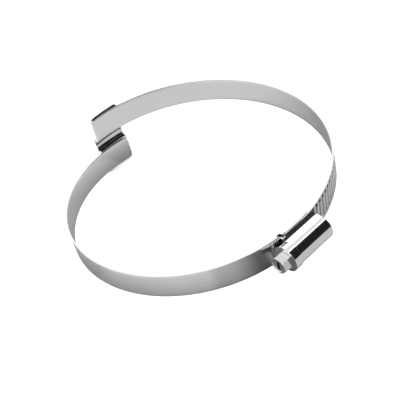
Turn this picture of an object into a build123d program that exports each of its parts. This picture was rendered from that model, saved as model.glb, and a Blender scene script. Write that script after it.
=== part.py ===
from build123d import *
import os
from math import asin, atan, cos, degrees, pi, radians, sin, sqrt

# Driving sizes, in millimetres and degrees
bore_radius = 60.0
band_width = 11.9
band_thickness = 0.8
helix_pitch = 18.8
strap_gap = 0.05
edge_chamfer = 0.22

# Toothed strap
tail_angle = -14.0
tooth_pitch = 2.85
teeth_before_worm = 4
teeth_after_worm = 23
groove_width = 1.4
groove_depth = 0.5
groove_flank = 18.0
groove_top_margin = 0.5
groove_bottom_margin = 1.6
pit_radius = 0.42
pit_depth = 0.7
toothed_end_round = 0.6

# Plain strap
plain_tail_angle = 7.8
plain_end_round = 2.6

# Bridge over the hose's wire
bridge_width = 15.6
bridge_overhang = 0.4
bridge_thickness = 1.1
channel_margin = 1.38
channel_rise = 2.2
bridge_bend = 0.5
bridge_corner = 0.6
weld_gap = 0.02

# Screw
worm_radius = 4.7
worm_length = 21.1
worm_front = 13.77
thread_engagement = 0.4
thread_depth = 0.95
thread_crest = 0.6
thread_root = 1.7
thread_turns = 6.5
neck_radius = 2.6
journal_radius = 1.8
head_across_flats = 7.0
head_length = 4.4
head_chamfer = 0.3
slot_width = 1.2
slot_depth = 1.6

# Housing
wall = 0.65
worm_play = 0.1
running_clearance = 0.08
collar_step = 0.4
collar_length = 3.8
flare_height = 1.8
skirt_overhang = 0.44
crease_height = 1.25
crease_step = 0.15
ear_length = 1.8
ear_thickness = 0.6
ear_foot = 1.3
ear_head_place = 10.1
ear_rear_place = 4.4
ear_shoulder = 0.8
side_clearance = 0.12
foot_clearance = 0.05
skirt_clearance = 0.1

# Radii and places worked out from the sizes above
strap_outer = bore_radius + band_thickness
eccentricity = (band_thickness + strap_gap) / 2
toothed_inner = bore_radius + eccentricity
toothed_outer = toothed_inner + band_thickness
tooth_angle = degrees(tooth_pitch / toothed_outer)
toothed_top = toothed_outer + eccentricity
bridge_end_angle = 180 + degrees(bridge_width / 2 / strap_outer)
rise_per_degree = helix_pitch / 360
worm_axis = toothed_top - thread_engagement + worm_radius
barrel_hollow = worm_radius + worm_play
barrel_radius = barrel_hollow + wall
barrel_bottom = worm_axis - barrel_radius
skirt_bottom = toothed_top + skirt_clearance
skirt_reach = band_width / 2 + skirt_overhang
flare_top = skirt_bottom + flare_height
crease = skirt_bottom + crease_height
crease_reach = barrel_radius + (skirt_reach - barrel_radius - crease_step) * (1 - crease_height / flare_height)
ear_top = skirt_bottom + ear_shoulder
ear_drop = ear_top - bore_radius + 3 * band_thickness
notch_reach = 8 * band_thickness
worm_rear = worm_front - worm_length
housing_front = worm_front + running_clearance + wall
housing_rear = worm_rear - running_clearance - wall
root_radius = worm_radius - thread_depth
groove_length = band_width - groove_top_margin - groove_bottom_margin
groove_middle = (groove_bottom_margin - groove_top_margin) / 2
bridge_height = helix_pitch + band_width + 2 * bridge_overhang
channel_width = helix_pitch - band_width - 2 * channel_margin
cut_start = 0.2
lead_angle = degrees(atan(tooth_pitch / (2 * pi * (worm_radius - thread_depth / 2))))


def strap_height(angle):
    """Height of a strap's middle line at an angle round the hose."""
    return rise_per_degree * angle


def groove_plane(tooth):
    """Plane on the toothed strap's outer face, its X along one groove and its Z away from the hose."""
    angle = tooth * tooth_angle
    turn, slant = radians(angle), radians(lead_angle)
    outward = Vector(cos(turn), sin(turn), 0)
    along = Vector(-sin(turn) * sin(slant), cos(turn) * sin(slant), cos(slant))
    middle = outward * (toothed_outer + cut_start) + Vector(eccentricity, 0, strap_height(angle))
    return Plane(origin=middle, x_dir=along, z_dir=outward)


def helicoid(start_angle, end_angle, width):
    """Ruled face across a strap's lower edge, from one angle to another, to be raised by its width."""
    climb = strap_height(end_angle - start_angle)
    inside = Edge.make_helix(pitch=helix_pitch, height=climb, radius=bore_radius - 3)
    outside = Edge.make_helix(pitch=helix_pitch, height=climb, radius=strap_outer + 3)
    place = Pos(0, 0, strap_height(start_angle) - width / 2) * Rot(0, 0, start_angle)
    return place * Face.make_surface_from_curves(inside, outside)


def strap_blank(start_angle, end_angle, inner_radius, shift):
    """Strip of band lying on a cylinder, its two long edges on the helix."""
    seam = radians((start_angle + end_angle) / 2 + 180)
    half_height = strap_height(bridge_end_angle) + band_width
    ring = Plane(origin=(shift, 0, -half_height), x_dir=(cos(seam), sin(seam), 0), z_dir=(0, 0, 1))
    with BuildPart() as blank:
        with BuildSketch(ring):
            Circle(inner_radius + band_thickness)
            Circle(inner_radius, mode=Mode.SUBTRACT)
        extrude(amount=2 * half_height)
        extrude(helicoid(start_angle, end_angle, band_width), amount=band_width, dir=(0, 0, 1),
                mode=Mode.INTERSECT)
    return blank.part


def radial_plane(angle):
    """Plane through the hose's axis, its X away from the axis and its Y up the axis."""
    turn = radians(angle)
    return Plane(origin=(0, 0, 0), x_dir=(cos(turn), sin(turn), 0), z_dir=(sin(turn), -cos(turn), 0))


def screw_plane(place, x_dir=(1, 0, 0)):
    """Plane square to the screw, Z towards its head, at a distance along the screw."""
    return Plane(origin=(0, -place, 0), x_dir=x_dir, z_dir=(0, -1, 0))


def ear_edge(place, side):
    """Height at which an ear's inner face passes the edges of the straps."""
    angle = -degrees(asin(place / strap_outer))
    return strap_height(angle) + side * (band_width / 2 + side_clearance)


ear_seats = [(ear_head_place, 1), (ear_head_place, -1), (-ear_rear_place, -1)]

# Toothed strap: outer strap with the grooves that the worm pulls on
with BuildPart() as toothed_strap:
    add(strap_blank(tail_angle, bridge_end_angle, toothed_inner, eccentricity))
    fillet(toothed_strap.edges().filter_by(lambda e: e.length < band_thickness + 0.1), toothed_end_round)
    chamfer(toothed_strap.edges().filter_by(lambda e: e.length > band_width), edge_chamfer)
    teeth = [groove_plane(tooth) for tooth in range(-teeth_before_worm, teeth_after_worm + 1)]
    with BuildSketch(*teeth):
        with Locations((groove_middle, 0)):
            SlotOverall(groove_length, groove_width)
    extrude(amount=-(groove_depth + cut_start), taper=groove_flank, mode=Mode.SUBTRACT)
    with BuildSketch(*teeth):
        with Locations((groove_middle + (groove_length - groove_width) / 2, 0)):
            Circle(pit_radius)
    extrude(amount=-(pit_depth + cut_start), mode=Mode.SUBTRACT)
toothed_strap.part.label = "toothed_strap"

# Plain strap: inner strap that carries the housing, notched for its ears
with BuildPart() as plain_strap:
    add(strap_blank(-bridge_end_angle, plain_tail_angle, bore_radius, 0))
    fillet(plain_strap.edges().filter_by(lambda e: e.length < band_thickness + 0.1), plain_end_round)
    chamfer(plain_strap.edges().filter_by(lambda e: e.length > band_width), edge_chamfer)
    for place, side in ear_seats:
        with BuildSketch(Plane.XY.offset(ear_edge(place, side))):
            with Locations((bore_radius, -place)):
                Rectangle(notch_reach, ear_length + 2 * foot_clearance)
        extrude(amount=-side * (ear_foot + foot_clearance), mode=Mode.SUBTRACT)
plain_strap.part.label = "plain_strap"

# Bridge: saddle plate that joins the straps and clears the wire of the hose
bridge_half_angle = bridge_end_angle - 180
with BuildPart() as bridge:
    flange_line = strap_outer + weld_gap + bridge_thickness / 2
    crest_line = flange_line + channel_rise
    channel_line = (channel_width + bridge_thickness) / 2
    with BuildSketch(radial_plane(180 - bridge_half_angle)):
        with BuildLine():
            FilletPolyline(
                (flange_line, -bridge_height / 2),
                (flange_line, -channel_line),
                (crest_line, -channel_line),
                (crest_line, channel_line),
                (flange_line, channel_line),
                (flange_line, bridge_height / 2),
                radius=bridge_bend + bridge_thickness / 2,
            )
        trace(line_width=bridge_thickness)
    revolve(axis=Axis.Z, revolution_arc=2 * bridge_half_angle)
    corners = bridge.edges().filter_by(
        lambda e: abs(e.length - bridge_thickness) < 0.01 and abs(e.center().Z) > bridge_height / 2 - 0.01
    )
    fillet(corners, bridge_corner)
bridge.part.label = "bridge"

# Housing: barrel over the worm, flared skirts on the band, collar at the head and clenched ears
with BuildPart() as housing:
    with BuildSketch(screw_plane(housing_rear)):
        with Locations((worm_axis, 0)):
            Circle(barrel_radius)
        with BuildLine():
            Polyline(
                (worm_axis, 0),
                (worm_axis, barrel_radius),
                (flare_top, barrel_radius),
                (crease, crease_reach),
                (crease, crease_reach + crease_step),
                (skirt_bottom, skirt_reach),
                (skirt_bottom, 0),
            )
            mirror(about=Plane.XZ)
        make_face()
    extrude(amount=housing_front - collar_length - housing_rear)
    with BuildSketch(screw_plane(housing_front - collar_length)):
        with Locations((worm_axis, 0)):
            Circle(barrel_radius + collar_step)
    extrude(amount=collar_length)
    with BuildSketch(screw_plane(housing_rear + wall)):
        with Locations((worm_axis, 0)):
            Circle(barrel_hollow)
        with BuildLine():
            Polyline(
                (worm_axis, 0),
                (worm_axis, barrel_hollow),
                (flare_top, barrel_hollow),
                (skirt_bottom, skirt_reach - wall),
                (barrel_bottom, skirt_reach - wall),
                (barrel_bottom, 0),
            )
            mirror(about=Plane.XZ)
        make_face()
    extrude(amount=housing_front - housing_rear - 2 * wall, mode=Mode.SUBTRACT)
    with BuildSketch(screw_plane(housing_front)):
        with Locations((worm_axis, 0)):
            Circle(neck_radius + running_clearance)
    extrude(amount=-2 * wall, mode=Mode.SUBTRACT)
    with BuildSketch(screw_plane(housing_rear)):
        with Locations((worm_axis, 0)):
            Circle(journal_radius + running_clearance)
    extrude(amount=2 * wall, mode=Mode.SUBTRACT)
    with BuildSketch(Plane.XY):
        with Locations((eccentricity, 0)):
            Circle(toothed_outer + skirt_clearance)
    extrude(amount=2 * barrel_radius, both=True, mode=Mode.SUBTRACT)
    for place, side in ear_seats:
        edge = ear_edge(place, side)
        with BuildSketch(Plane.XY.offset(edge)):
            with Locations((ear_top - ear_drop / 2, -place)):
                Rectangle(ear_drop, ear_length)
            Circle(bore_radius + foot_clearance, mode=Mode.SUBTRACT)
        extrude(amount=side * ear_thickness)
        with BuildSketch(Plane.XY.offset(edge + side * ear_thickness)):
            with Locations((ear_top - ear_shoulder / 2, -place)):
                Rectangle(ear_shoulder, ear_length)
        extrude(amount=-side * (ear_thickness + wall))
        with BuildSketch(Plane.XY.offset(edge)):
            with Locations((bore_radius, -place)):
                Rectangle(notch_reach, ear_length)
            Circle(strap_outer - foot_clearance, mode=Mode.INTERSECT)
            Circle(bore_radius + foot_clearance, mode=Mode.SUBTRACT)
        extrude(amount=-side * ear_foot)
housing.part.label = "housing"

# Worm screw: threaded worm, neck, journal and slotted hexagon head
with BuildPart() as head_turning:
    with BuildSketch(screw_plane(housing_front + running_clearance)):
        with Locations((worm_axis, 0)):
            Circle(head_across_flats / sqrt(3))
    extrude(amount=head_length)
    chamfer(head_turning.faces().sort_by(Axis.Y)[0].edges(), head_chamfer)

with BuildPart() as worm_screw:
    with BuildSketch(screw_plane(housing_front + running_clearance)):
        with Locations((worm_axis, 0)):
            RegularPolygon(head_across_flats / 2, 6, major_radius=False)
    extrude(amount=head_length)
    add(head_turning.part, mode=Mode.INTERSECT)
    with BuildSketch(screw_plane(housing_front + running_clearance + head_length)):
        with Locations((worm_axis, 0)):
            Rectangle(2 * head_across_flats, slot_width)
    extrude(amount=-slot_depth, mode=Mode.SUBTRACT)
    with BuildSketch(screw_plane(worm_front)):
        with Locations((worm_axis, 0)):
            Circle(neck_radius)
    extrude(amount=housing_front - worm_front + running_clearance)
    with BuildSketch(screw_plane(housing_rear)):
        with Locations((worm_axis, 0)):
            Circle(journal_radius)
    extrude(amount=worm_rear - housing_rear)
    with BuildSketch(screw_plane(worm_rear)):
        with Locations((worm_axis, 0)):
            Circle(root_radius)
    extrude(amount=worm_length)
    thread_start = Plane(origin=(worm_axis, 2 * tooth_pitch, 0), x_dir=(-1, 0, 0), z_dir=(0, -1, 0))
    thread_helix = Edge.make_helix(pitch=tooth_pitch, height=thread_turns * tooth_pitch, radius=root_radius)
    thread_path = thread_start.from_local_coords(thread_helix)
    with BuildSketch(Plane(origin=thread_path @ 0, x_dir=(-1, 0, 0), z_dir=thread_path % 0)):
        with BuildLine():
            Polyline(
                (-0.1, -thread_root / 2),
                (0, -thread_root / 2),
                (thread_depth, -thread_crest / 2),
                (thread_depth, thread_crest / 2),
                (0, thread_root / 2),
                (-0.1, thread_root / 2),
                close=True,
            )
        make_face()
    sweep(path=thread_path, is_frenet=True)
worm_screw.part.label = "worm_screw"

os.makedirs("parts", exist_ok=True)
for piece in (toothed_strap, plain_strap, bridge, housing, worm_screw):
    export_step(piece.part, f"parts/{piece.part.label}.step")
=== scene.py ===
from math import cos, pi, radians, sin

import bmesh
import bpy
import numpy as np
from mathutils import Matrix, Vector


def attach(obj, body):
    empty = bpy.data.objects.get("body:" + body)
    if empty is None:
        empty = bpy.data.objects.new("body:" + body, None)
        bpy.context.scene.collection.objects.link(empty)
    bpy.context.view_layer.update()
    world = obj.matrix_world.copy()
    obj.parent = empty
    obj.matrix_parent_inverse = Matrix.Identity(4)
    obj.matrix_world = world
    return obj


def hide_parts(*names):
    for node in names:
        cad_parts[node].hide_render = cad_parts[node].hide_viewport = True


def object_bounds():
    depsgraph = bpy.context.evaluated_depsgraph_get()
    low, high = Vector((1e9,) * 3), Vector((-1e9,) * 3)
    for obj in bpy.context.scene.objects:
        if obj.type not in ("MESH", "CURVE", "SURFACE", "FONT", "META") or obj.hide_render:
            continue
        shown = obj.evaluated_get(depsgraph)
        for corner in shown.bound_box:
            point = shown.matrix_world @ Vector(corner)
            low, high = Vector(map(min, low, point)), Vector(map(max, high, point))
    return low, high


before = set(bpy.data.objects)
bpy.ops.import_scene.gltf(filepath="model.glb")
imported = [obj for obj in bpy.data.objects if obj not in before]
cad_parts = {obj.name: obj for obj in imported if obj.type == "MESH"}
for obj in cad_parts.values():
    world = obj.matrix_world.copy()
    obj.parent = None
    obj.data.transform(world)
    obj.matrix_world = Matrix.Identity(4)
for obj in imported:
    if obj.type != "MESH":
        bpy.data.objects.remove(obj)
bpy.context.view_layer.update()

mm = 0.001

# Band, in metres and degrees
bore_radius = 60.0 * mm
band_width = 11.9 * mm
band_thickness = 0.8 * mm
helix_pitch = 18.8 * mm
strap_gap = 0.05 * mm
eccentricity = (band_thickness + strap_gap) / 2
toothed_inner = bore_radius + eccentricity
toothed_outer = toothed_inner + band_thickness
strap_outer = bore_radius + band_thickness
edge_round = 0.3 * mm

# Mesh density and edges of the pieces
least_station = 0.003 * mm
station_step = 1.0 * mm
edge_station_step = 2.0 * mm
inner_points = 7
toothed_outer_points = 80
plain_outer_points = 9
corner_points = 5
arc_points = 9
head_point_angle = 2.5
merge_distance = 1e-7
flat_angle = 0.5
bevel_segments = 3
bevel_angle = 20
bevel_weight = 80
shell_bevel = 0.12 * mm
screw_bevel = 0.1 * mm
head_bevel = 0.08 * mm

# Screw
worm_radius = 4.7 * mm
worm_axis = 65.95 * mm
thread_depth = 0.95 * mm
head_across_flats = 7.0 * mm
head_back = 14.58 * mm
head_end = 18.98 * mm
head_cut_margin = 0.02 * mm
head_chamfer_radius = 3.74 * mm
head_edge_break = 0.04 * mm
head_flat_angle = 15.0
rim_radius = 3.05 * mm
dish_radius = 2.8 * mm
dish_depth = 0.25 * mm
# Painted shade of the head's dish, the slot's edge and the slot's floor, the floor taking the full shade
dish_shade = 0.1
slot_half_width = 0.6 * mm
slot_half_length = 2.1 * mm
slot_depth = 1.2 * mm
slot_edge_shade = 0.3

# Toothed strap
tail_angle = -14.0
toothed_end_round = 0.6 * mm
tooth_pitch = 2.85 * mm
teeth_before_worm = 4
teeth_after_worm = 23
groove_width = 1.4 * mm
groove_top_margin = 0.5 * mm
groove_bottom_margin = 1.6 * mm
groove_length = band_width - groove_top_margin - groove_bottom_margin
groove_middle = (groove_bottom_margin - groove_top_margin) / 2
groove_depth = 0.5 * mm
groove_flank = 0.16 * mm
groove_slant = np.arctan(tooth_pitch / (2 * pi * (worm_radius - thread_depth / 2)))
groove_station_start = 0.7 * mm
groove_station_step = 0.13 * mm
pit_radius = 0.42 * mm
pit_depth = 0.7 * mm
pit_flank = 0.1 * mm
# Painted shade about each pit reaches this far, past the pit's own rim
pit_shade_radius = 1.05 * mm

# Plain strap
plain_tail_angle = 7.8
plain_end_round = 2.6 * mm
notch_length = 1.9 * mm
notch_depth = 1.35 * mm
notch_step = 0.005 * mm
notches = [(10.1 * mm, 1), (10.1 * mm, -1), (-4.4 * mm, -1)]

# Housing
barrel_radius = 5.45 * mm
flare_top = 63.6 * mm
skirt_spread = 1.3

# Bridge
bridge_width = 15.6 * mm
bridge_end_angle = 180 + np.degrees(bridge_width / 2 / strap_outer)
bridge_thickness = 1.1 * mm
bridge_overhang = 0.4 * mm
bridge_height = helix_pitch + band_width + 2 * bridge_overhang
channel_half = 3.0 * mm
channel_rise = 2.2 * mm
bridge_bend = 0.2 * mm
lower_plate_end = 0.4 * mm
lower_plate_ledge = 0.8 * mm
ledge_half = 0.02 * mm
ledge_steps = np.array([-5, -1.25, -1, -0.75, 0.75, 1, 1.25, 5])
bridge_corner = 0.6 * mm
bridge_edge = 0.1 * mm
bridge_station_step = 0.8 * mm
bridge_cap_points = 7
weld_gap = 0.02 * mm

# Steel
streak_share = 0.6
blotch_share = 0.4
relief_height = 0.05 * mm
# Painted shade: how far the steel's colour is cut down on a groove's floor, and in a pit or on the screw's
# slot floor
groove_painted_shade = 0.4
pit_and_slot_painted_shade = 0.02
groove_mark = groove_depth / pit_depth
groove_mark_width = 0.08


def smooth_step(value):
    """0 below 0, 1 above 1, and the cubic 3v^2 - 2v^3 between them."""
    value = np.clip(value, 0.0, 1.0)
    return value * value * (3.0 - 2.0 * value)


def tube_faces(rows, columns):
    """Quads of a tube of closed rings of points, one ring a row, with a flat face across each end."""
    row = np.arange(rows - 1)[:, None]
    column = np.arange(columns)[None, :]
    after = (column + 1) % columns
    quads = np.stack(np.broadcast_arrays(
        row * columns + column,
        row * columns + after,
        (row + 1) * columns + after,
        (row + 1) * columns + column,
    ), axis=-1)
    first_end = list(range(columns))[::-1]
    last_end = [(rows - 1) * columns + k for k in range(columns)]
    return quads.reshape(-1, 4).tolist() + [first_end, last_end]


def mesh_piece(name, points, body, material, uv, recess_shade):
    """New smooth-shaded tube of these (row, column) points, outside out, riding on a body.

    The shade attribute is 1 in and about a pit, less on a groove's floor and 0 elsewhere. It is painted
    shade: the steel's colour darkens with it."""
    faces = tube_faces(*points.shape[:2])
    points = points.reshape(-1, 3)
    corners = np.array([face[:3] for face in faces if len(face) == 4])
    first, second, third = (points[corners[:, k]] for k in range(3))
    if np.einsum("ij,ij->i", first, np.cross(second, third)).sum() < 0:
        faces = [face[::-1] for face in faces]
    mesh = bpy.data.meshes.new(name)
    mesh.from_pydata(points.tolist(), [], faces)
    layer = mesh.uv_layers.new(name="along_the_band")
    loop_points = np.zeros(len(mesh.loops), np.int32)
    mesh.loops.foreach_get("vertex_index", loop_points)
    layer.data.foreach_set("uv", uv.reshape(-1, 2)[loop_points].ravel())
    mesh.attributes.new("recess_shade", "FLOAT", "POINT").data.foreach_set("value", recess_shade.ravel())
    mesh.shade_smooth()
    mesh.materials.append(material)
    piece = bpy.data.objects.new(name, mesh)
    bpy.context.scene.collection.objects.link(piece)
    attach(piece, body)
    return piece


def end_inset(distance, radius):
    """How far a rounded corner stands back at a distance s from the end: R - sqrt(R^2 - (R - s)^2)."""
    reach = np.clip(radius - distance, 0.0, radius)
    return radius - np.sqrt(radius * radius - reach * reach)


def end_stations(length, radius, step):
    """Distances along a strip from 0 to its length, closer together in the rounded ends."""
    quarter = radius * (1 - np.cos(np.linspace(0, pi / 2, arc_points)))
    middle = np.linspace(radius, length - radius, max(2, int((length - 2 * radius) / step)) + 1)
    return np.concatenate([quarter[:-1], middle, length - quarter[::-1][1:]])


def spaced(stations, least):
    """Stations in order, without any that lies nearer than the least distance to the one before it."""
    kept = []
    for station in np.sort(stations):
        if not kept or station - kept[-1] >= least:
            kept.append(station)
    return np.array(kept)


def strap_section(half_thickness, top, bottom, corner, outer_count):
    """Closed outline of a band's section, up its inner face, over the top, down the outer face and under.

    Each corner is a quarter circle: centre plus radius times (cos a, sin a). Arrays are (station, point)."""
    up = np.linspace(0, 1, inner_points)[None, :]
    down = np.linspace(0, 1, outer_count)[None, :]
    bow = np.linspace(0, pi / 2, corner_points)[1:-1][None, :]
    half, high, low, c = (value[:, None] for value in (half_thickness, top, bottom, corner))
    runs = [
        (-half + 0 * up, low + c + up * (high - low - 2 * c)),
        (-half + c - c * np.cos(bow), high - c + c * np.sin(bow)),
        (half - c + c * np.sin(bow), high - c + c * np.cos(bow)),
        (half + 0 * down, high - c - down * (high - low - 2 * c)),
        (half - c + c * np.cos(bow), low + c - c * np.sin(bow)),
        (-half + c - c * np.sin(bow), low + c - c * np.cos(bow)),
    ]
    return np.concatenate([r[0] for r in runs], axis=1), np.concatenate([r[1] for r in runs], axis=1)


def groove_pattern(turn, height):
    """Depth and painted shade of the slanted grooves and their pits at points of the toothed strap's outer
    face.

    A groove is the band of points nearer than half its width to its middle line, which leans by the
    worm's lead: along = u sin a + h cos a, across = u cos a - h sin a, with u the arc from the tooth."""
    deepest = np.zeros_like(turn)
    darkest = np.zeros_like(turn)
    half_line = (groove_length - groove_width) / 2
    for tooth in range(-teeth_before_worm, teeth_after_worm + 1):
        angle = tooth * tooth_pitch / toothed_outer
        arc = (turn - angle) * toothed_outer
        rise = height - helix_pitch / (2 * pi) * angle
        along = arc * sin(groove_slant) + rise * cos(groove_slant) - groove_middle
        across = arc * cos(groove_slant) - rise * sin(groove_slant)
        reach = np.hypot(np.maximum(np.abs(along) - half_line, 0), across)
        groove = groove_depth * smooth_step((groove_width / 2 - reach) / groove_flank)
        pit_reach = np.hypot(along - half_line, across)
        pit = pit_depth * smooth_step((pit_radius + pit_flank - pit_reach) / pit_flank)
        deepest = np.maximum(deepest, np.maximum(groove, pit))
        # Painted shade of the pit, dark out to pit_shade_radius; a groove's painted shade follows its depth
        darkest = np.maximum(darkest, smooth_step((pit_shade_radius - pit_reach) / pit_flank))
    return deepest, np.maximum(darkest, deepest / pit_depth)


def strap(name, material, start, end, inner_radius, shift, end_round, stations, outer_count,
          cut_notches=(), pattern=None):
    """Band on a helix: (shift + r cos t, r sin t, p t / 2 pi + h), with a rounded section and rounded ends.

    The section's top and bottom step back at the ends' corners and at each notch, and a pattern sinks
    the outer face."""
    middle_radius = inner_radius + band_thickness / 2
    length = radians(end - start) * middle_radius
    turn = radians(start) + stations / middle_radius
    from_end = np.minimum(stations, length - stations)
    corner_back = end_inset(from_end, end_round)
    top = band_width / 2 - corner_back
    bottom = -top
    for place, side in cut_notches:
        inside = (np.abs(-place - middle_radius * np.sin(turn)) < notch_length / 2) & (np.cos(turn) > 0)
        edge = side * (band_width / 2 - notch_depth)
        top = np.where(inside & (side > 0), np.minimum(top, edge), top)
        bottom = np.where(inside & (side < 0), np.maximum(bottom, edge), bottom)
    half_thickness = band_thickness / 2 - end_inset(from_end, edge_round)
    corner = np.minimum(edge_round, half_thickness)
    out, height = strap_section(half_thickness, top, bottom, corner, outer_count)
    angle = np.broadcast_to(turn[:, None], out.shape)
    lift = helix_pitch / (2 * pi) * angle + height
    recess_shade = np.zeros_like(out)
    if pattern is not None:
        outside = smooth_step((out - 0.9 * half_thickness[:, None]) / (0.1 * half_thickness[:, None]))
        # Painted shade of grooves and pits, on the outer face only
        depth, darkness = pattern(angle, lift)
        recess_shade = outside * darkness
        out = out - outside * depth
    radius = middle_radius + out
    points = np.stack([shift + radius * np.cos(angle), radius * np.sin(angle), lift], axis=-1)
    uv = np.stack([angle * middle_radius, height], axis=-1)
    return mesh_piece(name, points, "clamp", material, uv, recess_shade)


def channel_side(offset):
    """Half of a face of the bridge in (out, up) coordinates, from the crest's middle to the flange.

    The face lies at an offset from the inner one. Two quarter bends join crest, channel side and flange,
    and the crest has extra points close about the height where the lower plate ends."""
    side = channel_half + offset
    flange = strap_outer + weld_gap + offset
    crest = flange + channel_rise
    arc = np.linspace(0, pi / 2, arc_points)
    steps = lower_plate_end + ledge_half * ledge_steps
    out = np.concatenate([
        np.full(2 + steps.size, crest),
        crest - bridge_bend + bridge_bend * np.cos(arc),
        flange + bridge_bend - bridge_bend * np.sin(arc),
    ])
    up = np.concatenate([
        [0],
        steps,
        [side - 2 * bridge_bend],
        side - bridge_bend + bridge_bend * np.sin(arc),
        side + bridge_bend - bridge_bend * np.cos(arc),
    ])
    return out, up


def bridge_face(offset, end):
    """Whole face of the bridge at an offset from the inner one, from the lower end up to the upper one."""
    out, up = channel_side(offset)
    flange = np.linspace(up[-1], end, arc_points)[1:]
    half_out = np.concatenate([out, np.full(flange.size, out[-1])])
    half_up = np.concatenate([up, flange])
    whole_out = np.concatenate([half_out[::-1], half_out[1:]])
    whole_up = np.concatenate([-half_up[::-1], half_up[1:]])
    return np.stack([whole_out, whole_up], 1)


def bridge_plate(material):
    """Saddle plate: its inner and outer face joined by rounded ends, turned about the hose's axis.

    Its inner face steps back where the lower plate ends on the crest, and comes forward at the flange."""
    half_angle = bridge_width / 2 / strap_outer
    crest_radius = strap_outer + bridge_thickness
    length = 2 * half_angle * crest_radius
    stations = end_stations(length, bridge_corner, bridge_station_step)
    turn = pi - half_angle + stations / crest_radius
    from_end = np.minimum(stations, length - stations)
    plate_end = bridge_height / 2 - end_inset(from_end, bridge_corner)
    half_thickness = bridge_thickness / 2 - end_inset(from_end, bridge_edge)
    cap_middle = strap_outer + weld_gap + bridge_thickness / 2
    bow = np.linspace(-pi / 2, pi / 2, bridge_cap_points)[1:-1, None]
    rows = []
    for end, half in zip(plate_end - bridge_edge, half_thickness):
        inside = bridge_face(bridge_thickness / 2 - half, end)
        outside = bridge_face(bridge_thickness / 2 + half, end)
        above_end = smooth_step((inside[:, 1] - lower_plate_end) / (2 * ledge_half) + 0.5)
        below_flange = 1 - smooth_step((inside[:, 1] - channel_half + bridge_bend) / (2 * bridge_bend))
        inside[:, 0] += lower_plate_ledge * above_end * below_flange
        cap = np.concatenate([cap_middle - half * np.sin(bow), end + bridge_edge * np.cos(bow)], axis=1)
        rows.append(np.concatenate([outside, cap, inside[::-1], cap[::-1] * (1, -1)]))
    section = np.array(rows)
    radius, height = section[..., 0], section[..., 1]
    angle = np.broadcast_to(turn[:, None], radius.shape)
    points = np.stack([radius * np.cos(angle), radius * np.sin(angle), height], axis=-1)
    uv = np.stack([angle * strap_outer, height], axis=-1)
    return mesh_piece("bridge_plate", points, "clamp", material, uv, np.zeros_like(radius))


def round_edges(piece, width):
    """Rounded edges, with flat faces that keep flat shading between them."""
    rounding = piece.modifiers.new("rounded edges", "BEVEL")
    rounding.width = width
    rounding.segments = bevel_segments
    rounding.limit_method = "ANGLE"
    rounding.angle_limit = radians(bevel_angle)
    evening = piece.modifiers.new("flat faces stay flat", "WEIGHTED_NORMAL")
    evening.weight = bevel_weight


def dressed_copy(node, name, body, material, bevel):
    """Merged copy of a CAD node with its flat faces joined and its edges rounded, standing for the node."""
    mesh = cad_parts[node].data.copy()
    mesh.name = name
    work = bmesh.new()
    work.from_mesh(mesh)
    bmesh.ops.remove_doubles(work, verts=work.verts, dist=merge_distance)
    bmesh.ops.dissolve_limit(work, angle_limit=radians(flat_angle), verts=work.verts, edges=work.edges)
    work.to_mesh(mesh)
    work.free()
    mesh.shade_smooth()
    mesh.materials.clear()
    mesh.materials.append(material)
    piece = bpy.data.objects.new(name, mesh)
    bpy.context.scene.collection.objects.link(piece)
    round_edges(piece, bevel)
    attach(piece, body)
    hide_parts(node)
    return piece


def spread_skirts(mesh):
    """Spreads the skirts, so that they lie in shade: |z| grows by a share of its reach past the barrel."""
    for point in mesh.vertices:
        reach = abs(point.co.z) - barrel_radius
        if reach > 0 and point.co.x < flare_top:
            point.co.z += (skirt_spread - 1) * reach * (1 if point.co.z > 0 else -1)


def drop_head(mesh):
    """Takes the head off the copy of the screw, past its back face."""
    work = bmesh.new()
    work.from_mesh(mesh)
    head_points = [point for point in work.verts if point.co.y < -head_back - head_cut_margin]
    bmesh.ops.delete(work, geom=head_points, context="VERTS")
    work.to_mesh(mesh)
    work.free()


def screw_head(material):
    """Hexagon head with a dished end and a closed slot: rings about the screw's axis, from its back to
    the slot's floor.

    A hexagon's ring is r = (f / 2) / cos(((a - a0 + 30) mod 60) - 30), a slot's ring is the nearer of
    w / |cos a| and l / |sin a|, and the rim and the dish are circles."""
    slot_corner = np.degrees(np.arctan2(slot_half_length, slot_half_width))
    corners = [slot_corner, 180 - slot_corner, 180 + slot_corner, 360 - slot_corner]
    angle = np.unique(np.concatenate([np.arange(0, 360, head_point_angle), corners]))
    turn = np.radians(angle)
    hexagon = head_across_flats / 2 / np.cos(np.radians((angle - head_flat_angle + 30) % 60 - 30))
    slot = np.minimum(slot_half_width / np.maximum(np.abs(np.cos(turn)), 1e-6),
                      slot_half_length / np.maximum(np.abs(np.sin(turn)), 1e-6))
    front = np.minimum(hexagon, head_chamfer_radius)
    dish = head_end - dish_depth
    # Each ring: radius, place along the screw, and painted shade, which darkens the dish and the slot
    rings = [
        (hexagon, head_back, 0.0),
        (hexagon, head_end - (hexagon - front), 0.0),
        (front - head_edge_break, head_end, 0.0),
        (rim_radius, head_end, 0.0),
        (dish_radius, dish, dish_shade),
        (slot, dish, slot_edge_shade),
        (slot, dish - slot_depth, 1.0),
    ]
    points = np.stack([
        np.stack([worm_axis + radius * np.cos(turn), -along + 0 * turn, radius * np.sin(turn)], 1)
        for radius, along, shade in rings
    ])
    recess_shade = np.stack([shade + 0 * turn for radius, along, shade in rings])
    ring_number = np.arange(len(rings))[:, None]
    uv = np.stack(np.broadcast_arrays(turn[None, :] * rim_radius, ring_number * mm), axis=-1)
    piece = mesh_piece("screw_head", points, "screw", material, uv, recess_shade)
    round_edges(piece, head_bevel)
    return piece


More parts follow.
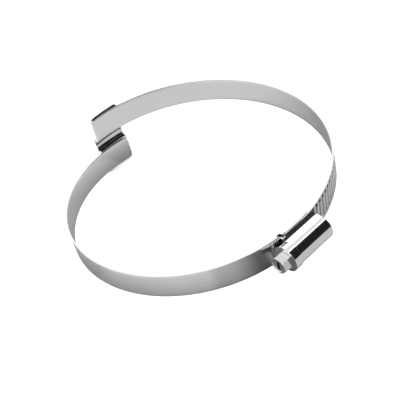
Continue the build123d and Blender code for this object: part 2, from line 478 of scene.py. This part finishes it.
def add_node(tree, kind, operation=None, **sockets):
    """New shader node with this operation and these unlinked socket values."""
    node = tree.nodes.new(kind)
    if operation:
        node.operation = operation
    for socket, value in sockets.items():
        node.inputs[socket.replace("_", " ")].default_value = value
    return node


def grey_ramp(tree, stops):
    """Colour ramp through (position, tone) stops, given in rising order."""
    ramp = tree.nodes.new("ShaderNodeValToRGB")
    elements = ramp.color_ramp.elements
    for number, (position, tone) in enumerate(stops):
        stop = elements[number] if number < 2 else elements.new(position)
        stop.position = position
        stop.color = (tone, tone, tone, 1)
    return ramp


def steel(name, tones, roughness, streak_scale, blotch_scale, bump, along_band, anisotropy=0.0):
    """Stainless steel: streaks from stretched noise, slow cloudy patches, and a fine bump of the streaks.

    The tone is cut down by the shade attribute, a painted shade in two steps, for grooves and for pits."""
    material = bpy.data.materials.new(name)
    material.use_nodes = True
    tree = material.node_tree
    shader = tree.nodes["Principled BSDF"]
    shader.inputs["Metallic"].default_value = 1.0
    shader.inputs["Anisotropic"].default_value = anisotropy
    place = tree.nodes.new("ShaderNodeTexCoord").outputs["UV" if along_band else "Object"]
    streak_place = add_node(tree, "ShaderNodeMapping", Scale=streak_scale)
    streaks = add_node(tree, "ShaderNodeTexNoise", Scale=1.0, Detail=4.0, Roughness=0.65)
    blotches = add_node(tree, "ShaderNodeTexNoise", Scale=blotch_scale, Detail=2.0, Roughness=0.5)
    streak_part = add_node(tree, "ShaderNodeMath", "MULTIPLY")
    streak_part.inputs[1].default_value = streak_share
    grain = add_node(tree, "ShaderNodeMath", "MULTIPLY_ADD")
    grain.inputs[1].default_value = blotch_share
    colour = tree.nodes.new("ShaderNodeMapRange")
    colour.data_type = "FLOAT_VECTOR"
    colour_value, colour_low, colour_high = (colour.inputs[k] for k in (6, 9, 10))
    low, high = tones
    colour_low.default_value = (low, low, low)
    colour_high.default_value = (high, high * 0.998, high * 0.99)
    gloss = add_node(tree, "ShaderNodeMapRange", To_Min=roughness[0], To_Max=roughness[1])
    relief = add_node(tree, "ShaderNodeBump", Strength=bump, Distance=relief_height)
    # Painted shade of grooves, pits and the screw's slot, read from the per-point shade attribute
    recess_shade = tree.nodes.new("ShaderNodeAttribute")
    recess_shade.attribute_name = "recess_shade"
    painted_shade_ramp = grey_ramp(tree, [
        (0.0, 1.0),
        (groove_mark, groove_painted_shade),
        (groove_mark + groove_mark_width, groove_painted_shade),
        (1.0, pit_and_slot_painted_shade),
    ])
    shaded = add_node(tree, "ShaderNodeVectorMath", "SCALE")
    link = tree.links.new
    link(place, streak_place.inputs["Vector"])
    link(streak_place.outputs["Vector"], streaks.inputs["Vector"])
    link(place, blotches.inputs["Vector"])
    link(streaks.outputs["Fac"], streak_part.inputs[0])
    link(blotches.outputs["Fac"], grain.inputs[0])
    link(streak_part.outputs[0], grain.inputs[2])
    link(grain.outputs[0], colour_value)
    link(grain.outputs[0], gloss.inputs["Value"])
    link(recess_shade.outputs["Fac"], painted_shade_ramp.inputs[0])
    link(colour.outputs[1], shaded.inputs[0])
    link(painted_shade_ramp.outputs[0], shaded.inputs["Scale"])
    link(shaded.outputs["Vector"], shader.inputs["Base Color"])
    link(gloss.outputs[0], shader.inputs["Roughness"])
    link(streaks.outputs["Fac"], relief.inputs["Height"])
    link(relief.outputs["Normal"], shader.inputs["Normal"])
    return material


# Materials
band_steel = steel("band_steel", tones=(0.50, 0.66), roughness=(0.16, 0.26), streak_scale=(60, 2500, 1),
                   blotch_scale=45.0, bump=0.25, along_band=True, anisotropy=0.4)
bridge_steel = steel("bridge_steel", tones=(0.48, 0.64), roughness=(0.07, 0.12), streak_scale=(80, 1800, 1),
                     blotch_scale=60.0, bump=0.1, along_band=True)
housing_steel = steel("housing_steel", tones=(0.60, 0.72), roughness=(0.07, 0.14),
                      streak_scale=(400, 60, 400), blotch_scale=80.0, bump=0.05, along_band=False)
screw_steel = steel("screw_steel", tones=(0.52, 0.68), roughness=(0.10, 0.20),
                    streak_scale=(500, 90, 500), blotch_scale=150.0, bump=0.12, along_band=False)

# Toothed strap's piece
toothed_middle = toothed_inner + band_thickness / 2
toothed_length = radians(bridge_end_angle - tail_angle) * toothed_middle
tooth_angle = np.degrees(tooth_pitch / toothed_outer)
grooved_end = radians((teeth_after_worm + 1) * tooth_angle - tail_angle) * toothed_middle
toothed_stations = spaced(np.concatenate([
    end_stations(toothed_length, toothed_end_round, station_step),
    end_stations(toothed_length, edge_round, edge_station_step),
    np.arange(groove_station_start, grooved_end, groove_station_step),
]), least_station)
toothed_band = strap("toothed_band", band_steel, tail_angle, bridge_end_angle, toothed_inner, eccentricity,
                     toothed_end_round, toothed_stations, toothed_outer_points, pattern=groove_pattern)
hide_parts("toothed_strap")

# Plain strap's piece
plain_middle = bore_radius + band_thickness / 2
plain_length = radians(plain_tail_angle + bridge_end_angle) * plain_middle
notch_edges = [
    radians(bridge_end_angle) * plain_middle
    - np.arcsin((place + sign * notch_length / 2) / plain_middle) * plain_middle
    + step
    for place, side in notches
    for sign in (-1, 1)
    for step in (-notch_step, notch_step)
]
plain_stations = spaced(np.concatenate([
    end_stations(plain_length, plain_end_round, station_step),
    end_stations(plain_length, edge_round, edge_station_step),
    np.array(notch_edges),
]), least_station)
plain_band = strap("plain_band", band_steel, -bridge_end_angle, plain_tail_angle, bore_radius, 0.0,
                   plain_end_round, plain_stations, plain_outer_points, cut_notches=notches)
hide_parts("plain_strap")

# Bridge, housing and screw
saddle = bridge_plate(bridge_steel)
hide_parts("bridge")
shell = dressed_copy("housing", "housing_shell", "clamp", housing_steel, shell_bevel)
spread_skirts(shell.data)
screw = dressed_copy("worm_screw", "hex_screw", "screw", screw_steel, screw_bevel)
drop_head(screw.data)
head = screw_head(screw_steel)

# Camera, at the angle of the photograph
ring_radius = 60.4 * mm
camera_azimuth = 56.0
camera_elevation = 39.7
camera_roll = -16.0018
camera_distance = 6.4294 * ring_radius
focal_pixels = 901.73
image_width = 400
sensor_width = 36
turn, tilt, roll = radians(camera_azimuth), radians(camera_elevation), radians(camera_roll)
right = Vector((cos(turn), sin(turn), 0))
back = Vector((sin(turn) * cos(tilt), -cos(turn) * cos(tilt), sin(tilt)))
above = back.cross(right)
target = Vector((0.1974, -0.1523, 0.0225)) * ring_radius
side_way = cos(roll) * right + sin(roll) * above
up_way = cos(roll) * above - sin(roll) * right
eye = target + camera_distance * back
camera_data = bpy.data.cameras.new("camera")
camera_data.sensor_width = sensor_width
camera_data.lens = sensor_width * focal_pixels / image_width
camera_data.clip_start = 0.01
camera = bpy.data.objects.new("camera", camera_data)
camera.matrix_world = Matrix((
    (side_way.x, up_way.x, back.x, eye.x),
    (side_way.y, up_way.y, back.y, eye.y),
    (side_way.z, up_way.z, back.z, eye.z),
    (0, 0, 0, 1),
))
bpy.context.scene.collection.objects.link(camera)
bpy.context.scene.camera = camera

# Studio, in metres, degrees and tones
floor_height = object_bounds()[0].z
floor_reach = 3.0
table_drop = 0.05 * mm
# Painted shadow of the table near the ring; the table is seen in reflections only
table_shadow_tone = 0.38
table_far_tone = 1.0
table_near_reach = 22 * mm
# Painted shade and painted light round the ring, as (degrees, share) pairs
table_sectors = [
    (-180, 1.25), (-140, 1.3), (-122, 1.0), (-98, 0.9), (-94, 1.05), (-41, 1.0), (-37, 0.74), (-28, 0.66),
    (-24, 0.5), (-17, 0.2), (-12, 0.15), (-9, 0.75), (30, 0.8), (60, 1.0), (180, 1.0),
]
card_distance = 0.9
card_start = -0.3
card_end = 1.2
flag_tone = 0.004
world_strength = 1.9


def flat_sheet(name, corners, material, seen_by):
    """Flat four-cornered sheet of the studio, seen by the camera and soft light, or in reflections only."""
    mesh = bpy.data.meshes.new(name)
    mesh.from_pydata([tuple(corner) for corner in corners], [], [(0, 1, 2, 3)])
    mesh.materials.append(material)
    sheet = bpy.data.objects.new(name, mesh)
    bpy.context.scene.collection.objects.link(sheet)
    sheet.visible_camera = seen_by == "camera"
    sheet.visible_diffuse = seen_by == "camera"
    sheet.visible_shadow = seen_by == "camera"
    sheet.visible_glossy = seen_by == "reflections"


def glow_paint(name, tone):
    """Even glow of one tone."""
    material = bpy.data.materials.new(name)
    material.use_nodes = True
    shader = material.node_tree.nodes["Principled BSDF"]
    shader.inputs["Base Color"].default_value = (0, 0, 0, 1)
    shader.inputs["Specular IOR Level"].default_value = 0.0
    shader.inputs["Emission Color"].default_value = (tone, tone, tone, 1)
    shader.inputs["Emission Strength"].default_value = 1.0
    return material


def table_shading_paint(name):
    """Glow with a painted shadow, darkest under the band and paling with the distance from the ring's line,
    |r - R|.

    It is scaled by the table's sectors, painted shade and painted light round the ring, which are (degrees
    round the ring, share) pairs, with the share between them drawn straight."""
    material = glow_paint(name, table_far_tone)
    tree = material.node_tree
    place = tree.nodes.new("ShaderNodeTexCoord").outputs["Object"]
    flat = add_node(tree, "ShaderNodeVectorMath", "MULTIPLY")
    flat.inputs[1].default_value = (1, 1, 0)
    span = add_node(tree, "ShaderNodeVectorMath", "LENGTH")
    off = add_node(tree, "ShaderNodeMath", "SUBTRACT")
    off.inputs[1].default_value = ring_radius
    away = add_node(tree, "ShaderNodeMath", "ABSOLUTE")
    tone = add_node(tree, "ShaderNodeMapRange", From_Max=table_near_reach,
                    To_Min=table_shadow_tone, To_Max=table_far_tone)
    tone.interpolation_type = "SMOOTHSTEP"
    split = tree.nodes.new("ShaderNodeSeparateXYZ")
    bearing = add_node(tree, "ShaderNodeMath", "ARCTAN2")
    round_trip = add_node(tree, "ShaderNodeMapRange", From_Min=-pi, From_Max=pi)
    ramp = grey_ramp(tree, [((degrees + 180) / 360, share) for degrees, share in table_sectors])
    lit = add_node(tree, "ShaderNodeVectorMath", "SCALE")
    link = tree.links.new
    link(place, split.inputs[0])
    link(split.outputs["Y"], bearing.inputs[0])
    link(split.outputs["X"], bearing.inputs[1])
    link(bearing.outputs[0], round_trip.inputs["Value"])
    link(round_trip.outputs[0], ramp.inputs[0])
    link(ramp.outputs["Color"], lit.inputs[0])
    link(tone.outputs[0], lit.inputs["Scale"])
    link(place, flat.inputs[0])
    link(flat.outputs[0], span.inputs[0])
    link(span.outputs["Value"], off.inputs[0])
    link(off.outputs[0], away.inputs[0])
    link(away.outputs[0], tone.inputs["Value"])
    link(lit.outputs["Vector"], tree.nodes["Principled BSDF"].inputs["Emission Color"])
    return material


def level_square(height):
    """Corners of a level square about the hose's axis."""
    return [(a * floor_reach, b * floor_reach, height) for a, b in ((-1, -1), (1, -1), (1, 1), (-1, 1))]


def long_card(name, low_angle, high_angle, tone):
    """Card along the screw's way, between two angles above +X, whose straight edges run along Y."""
    low, high = radians(low_angle), radians(high_angle)
    corners = [(card_distance * cos(angle), y, card_distance * sin(angle))
               for angle, y in ((low, card_start), (low, card_end), (high, card_end), (high, card_start))]
    flat_sheet(name, corners, glow_paint(name + "_paint", tone), "reflections")


def flag(name, seen_point, gap, half_width, half_height):
    """Small card that level faces at a point mirror to the camera: it faces them along the mirrored line."""
    mirror = Vector((-back.x, -back.y, back.z))
    sideways = mirror.cross(Vector((0, 0, 1))).normalized()
    upwards = sideways.cross(mirror)
    middle = Vector(seen_point) + gap * mirror
    corners = [middle + a * half_width * sideways + b * half_height * upwards
               for a, b in ((-1, -1), (1, -1), (1, 1), (-1, 1))]
    flat_sheet(name, corners, glow_paint(name + "_paint", flag_tone), "reflections")


bpy.context.scene.view_settings.view_transform = "Standard"
floor_paint = bpy.data.materials.new("floor_paint")
floor_paint.use_nodes = True
floor_shader = floor_paint.node_tree.nodes["Principled BSDF"]
floor_shader.inputs["Base Color"].default_value = (0.9, 0.9, 0.9, 1)
floor_shader.inputs["Roughness"].default_value = 0.9
flat_sheet("floor", level_square(floor_height), floor_paint, "camera")
flat_sheet("table_shine", level_square(floor_height - table_drop), table_shading_paint("table_shading_paint"), "reflections")
flag("bridge_flag", (-strap_outer, 0, 0.1 * bridge_height), gap=24 * mm, half_width=10 * mm,
     half_height=30 * mm)
flag("tail_flag", (59.4 * mm, -13 * mm, 5.3 * mm), gap=5 * mm, half_width=5.5 * mm, half_height=1.3 * mm)
long_card("black_card", -0.9, 70.5, tone=0.02)
long_card("soft_card", 82, 110, tone=1.13)
long_card("grey_card", 128, 136, tone=1.35)

world = bpy.data.worlds.new("studio")
world.use_nodes = True
world.node_tree.nodes["Background"].inputs["Color"].default_value = (1, 1, 1, 1)
world.node_tree.nodes["Background"].inputs["Strength"].default_value = world_strength
bpy.context.scene.world = world
